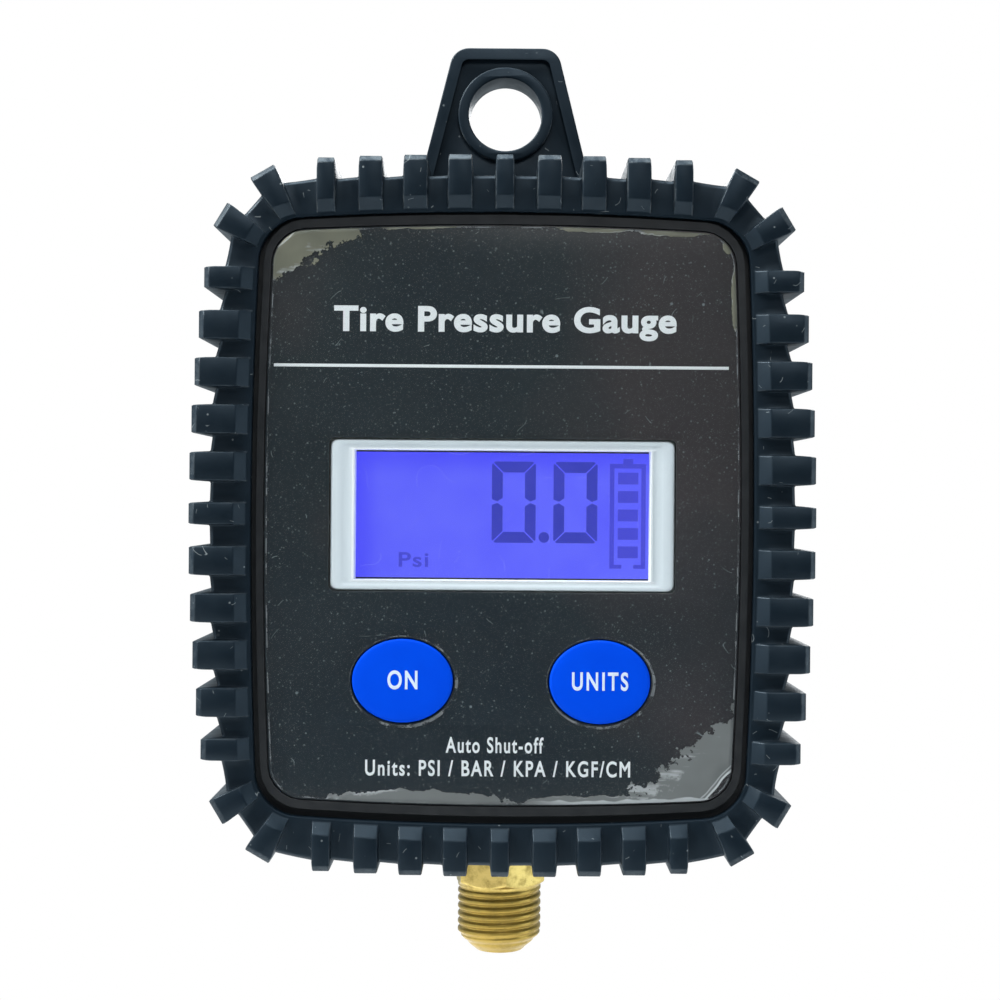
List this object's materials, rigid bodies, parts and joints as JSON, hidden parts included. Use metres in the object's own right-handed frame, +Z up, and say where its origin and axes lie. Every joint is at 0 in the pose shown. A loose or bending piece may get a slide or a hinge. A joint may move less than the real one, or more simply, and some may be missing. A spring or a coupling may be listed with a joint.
{
  "type": "digital tire pressure gauge",
  "caption": "Handheld digital tire pressure gauge: ribbed rubber boot with hanging eye, backlit display, two oval keys, brass pipe-thread stem and a hinged battery door.",
  "frame": {"origin": "centre of the brass stem's lower end face, below the middle of the body", "axes": "+Z up along the stem and body, -Y out of the display, +X to the right as the display is read"},
  "size_m": [0.0696, 0.028, 0.1053],
  "materials": {
    "boot_rubber": "moulded blue-black rubber, satin",
    "housing": "moulded black ABS, fine grain",
    "overlay": "printed polycarbonate label, gloss",
    "film": "clear protective film, partly lifted",
    "display_white": "moulded white plastic, satin",
    "display_glass": "liquid crystal glass lit blue from behind",
    "polarizer": "thin polarizing film",
    "light_guide": "clear acrylic with printed dots",
    "led": "white surface-mounted lamp",
    "elastomer": "layered silicone",
    "circuit_board": "solder mask over glass-fibre board",
    "chip_black": "moulded epoxy",
    "ceramic_chip": "fired ceramic with tinned ends",
    "header_plastic": "nylon",
    "key_blue": "moulded blue silicone with printed legend",
    "brass": "machined, lightly tarnished",
    "steel": "zinc-plated",
    "contact_metal": "nickel-plated spring steel",
    "sensor_ceramic": "fired alumina",
    "seal_rubber": "nitrile rubber",
    "wire_red": "insulated lead",
    "wire_black": "insulated lead",
    "cell_label": "shrink-sleeved dry cell"
  },
  "bodies": {
    "head": {"boot": "boot_rubber", "front_housing": "housing", "rear_housing": "housing", "graphic_overlay": "overlay", "protective_film": "film", "lcd_frame": "display_white", "lcd_glass": "display_glass", "front_polarizer": "polarizer", "rear_polarizer": "polarizer", "backlight_panel": "light_guide", "backlight_leds": "led", "zebra_strips": "elastomer", "main_pcb": "circuit_board", "microcontroller": "chip_black", "crystal": "steel", "smd_parts": "ceramic_chip", "wire_header": "header_plastic", "switch_base_on": "chip_black", "switch_base_units": "chip_black", "switch_cover_on": "steel", "switch_cover_units": "steel", "switch_dome_on": "steel", "switch_dome_units": "steel", "stem": "brass", "stem_clamp": "steel", "clamp_screws": "steel", "sensor_disc": "sensor_ceramic", "sensor_o_ring": "seal_rubber", "sensor_retainer": "brass", "sensor_wires": "wire_red", "battery_left": "cell_label", "battery_right": "cell_label", "contact_springs": "contact_metal", "contact_plates": "contact_metal", "battery_leads": "wire_black", "housing_screws": "steel", "pcb_screws": "steel"},
    "on_key": {"key_on": "key_blue", "switch_plunger_on": "chip_black"},
    "units_key": {"key_units": "key_blue", "switch_plunger_units": "chip_black"},
    "door": {"battery_door": "housing"},
    "door_screw": {"battery_door_screw": "steel"}
  },
  "joints": [
    {"name": "on_key_press", "type": "slide", "parent": "head", "child": "on_key", "axis": [0, 1, 0], "range_m": [0, 0.0005], "stiffness_N_per_m": 2000, "springref_m": -0.0002},
    {"name": "units_key_press", "type": "slide", "parent": "head", "child": "units_key", "axis": [0, 1, 0], "range_m": [0, 0.0005], "stiffness_N_per_m": 2000, "springref_m": -0.0002},
    {"name": "battery_door_hinge", "type": "hinge", "parent": "head", "child": "door", "pos_m": [0, 0.0116, 0.0823], "axis": [1, 0, 0], "range_deg": [0, 85]},
    {"name": "door_screw_turn", "type": "hinge", "parent": "door", "child": "door_screw", "pos_m": [0, 0.0116, 0.0296], "axis": [0, 1, 0], "continuous": true}
  ]
}
